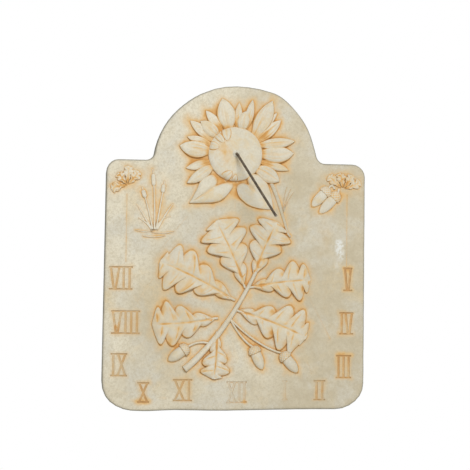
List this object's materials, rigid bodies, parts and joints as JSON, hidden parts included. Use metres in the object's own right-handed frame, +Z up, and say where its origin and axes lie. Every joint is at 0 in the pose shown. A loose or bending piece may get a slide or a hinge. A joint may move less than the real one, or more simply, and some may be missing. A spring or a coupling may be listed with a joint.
{
  "type": "wall sundial plaque",
  "caption": "Cast stone wall sundial: an arched slab with raised sunflower, oak bough and rushes, sunk Roman numerals, and a bent steel rod gnomon.",
  "frame": {"origin": "centre of the mouth of the hanging hole in the back, on the wall plane", "axes": "+Z up the wall, +Y into the wall, the face of the dial looks along -Y, +X to the right of a person facing the dial"},
  "size_m": [0.306, 0.1083, 0.38],
  "materials": {
    "cast_stone": "matte, fine cast grain",
    "raised_stone": "matte, rubbed pale on the high places",
    "stained_stone": "matte, with an ochre wash",
    "setting_resin": "matte",
    "dark_steel": "dark, dull"
  },
  "bodies": {
    "root": {"stone_slab": "cast_stone", "flower_disc": "raised_stone", "disc_florets": "raised_stone", "front_petals": "raised_stone", "back_petals": "raised_stone", "flower_leaves": "raised_stone", "flower_stem": "raised_stone", "oak_leaves": "raised_stone", "oak_stem": "raised_stone", "oak_acorns": "raised_stone", "spray_left": "raised_stone", "spray_right": "raised_stone", "bulrushes": "raised_stone", "acorn_pair": "raised_stone", "hour_lines": "stained_stone", "drop_lines": "stained_stone", "numeral_vii": "stained_stone", "numeral_viii": "stained_stone", "numeral_ix": "stained_stone", "numeral_x": "stained_stone", "numeral_xi": "stained_stone", "numeral_xii": "stained_stone", "numeral_i": "stained_stone", "numeral_ii": "stained_stone", "numeral_iii": "stained_stone", "numeral_iv": "stained_stone", "numeral_v": "stained_stone", "gnomon_resin": "setting_resin", "gnomon_rod": "dark_steel"}
  },
  "joints": []
}
